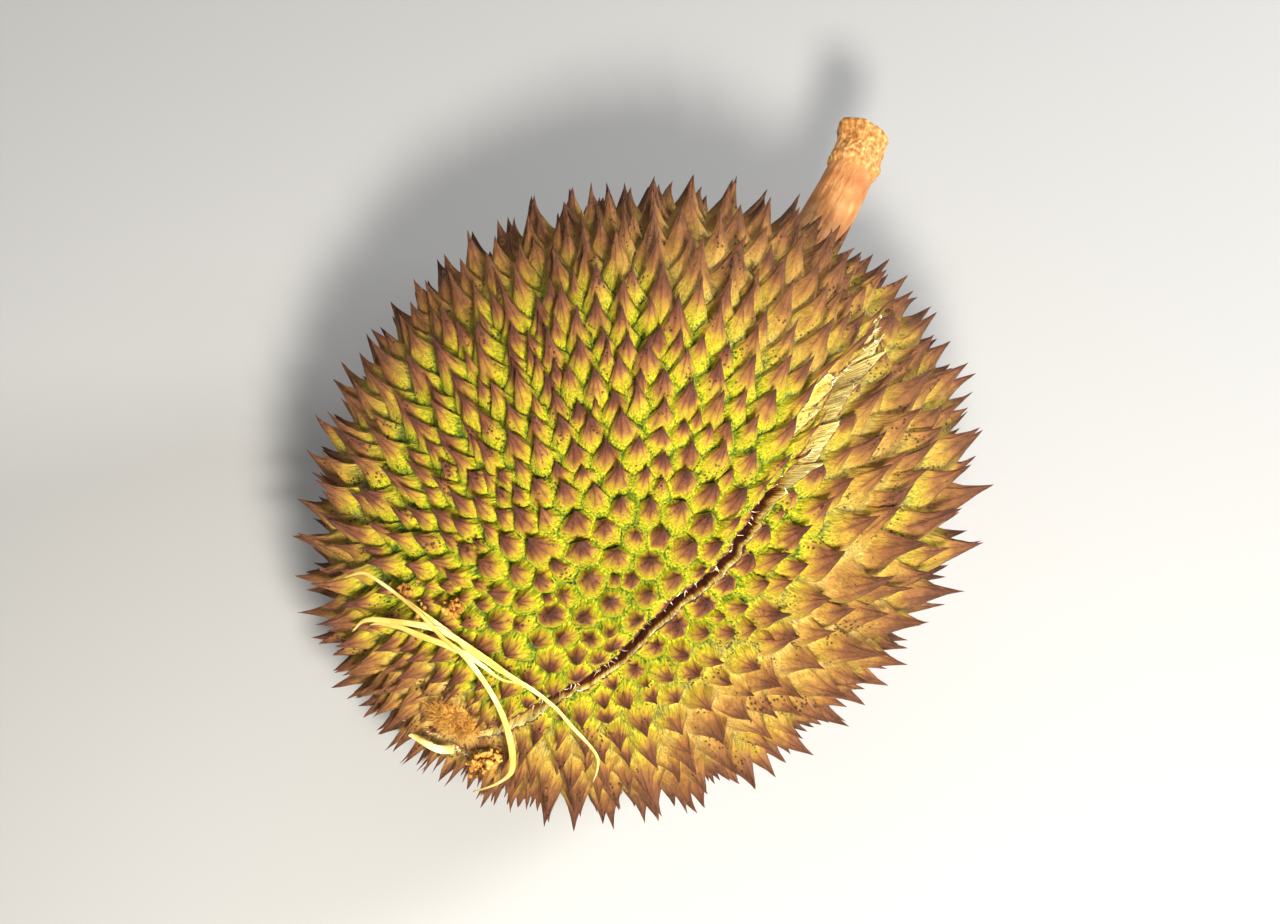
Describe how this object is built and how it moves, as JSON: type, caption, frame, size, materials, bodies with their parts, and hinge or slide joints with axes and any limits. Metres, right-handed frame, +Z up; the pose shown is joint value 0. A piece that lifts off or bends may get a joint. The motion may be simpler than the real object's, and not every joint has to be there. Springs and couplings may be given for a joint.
{
  "type": "durian",
  "caption": "Round spiny durian with a woody stalk, split along one seam, lying on its side with dry raffia strips over the blossom end.",
  "frame": {"origin": "on the resting surface, under the middle of the box around the husk and the stalk", "axes": "+X from the blossom end towards the stalk, +Z up from the resting surface"},
  "size_m": [0.2163, 0.1654, 0.143],
  "materials": {
    "husk": "matt fibrous rind, yellow-green between the spikes, ochre to dark brown tips",
    "stalk": "matt tan bark",
    "raffia": "dry satin straw"
  },
  "bodies": {
    "root": {"husk": "husk", "stalk": "stalk", "raffia_strip_1": "raffia", "raffia_strip_2": "raffia", "raffia_strip_3": "raffia", "raffia_strip_4": "raffia"}
  },
  "joints": []
}
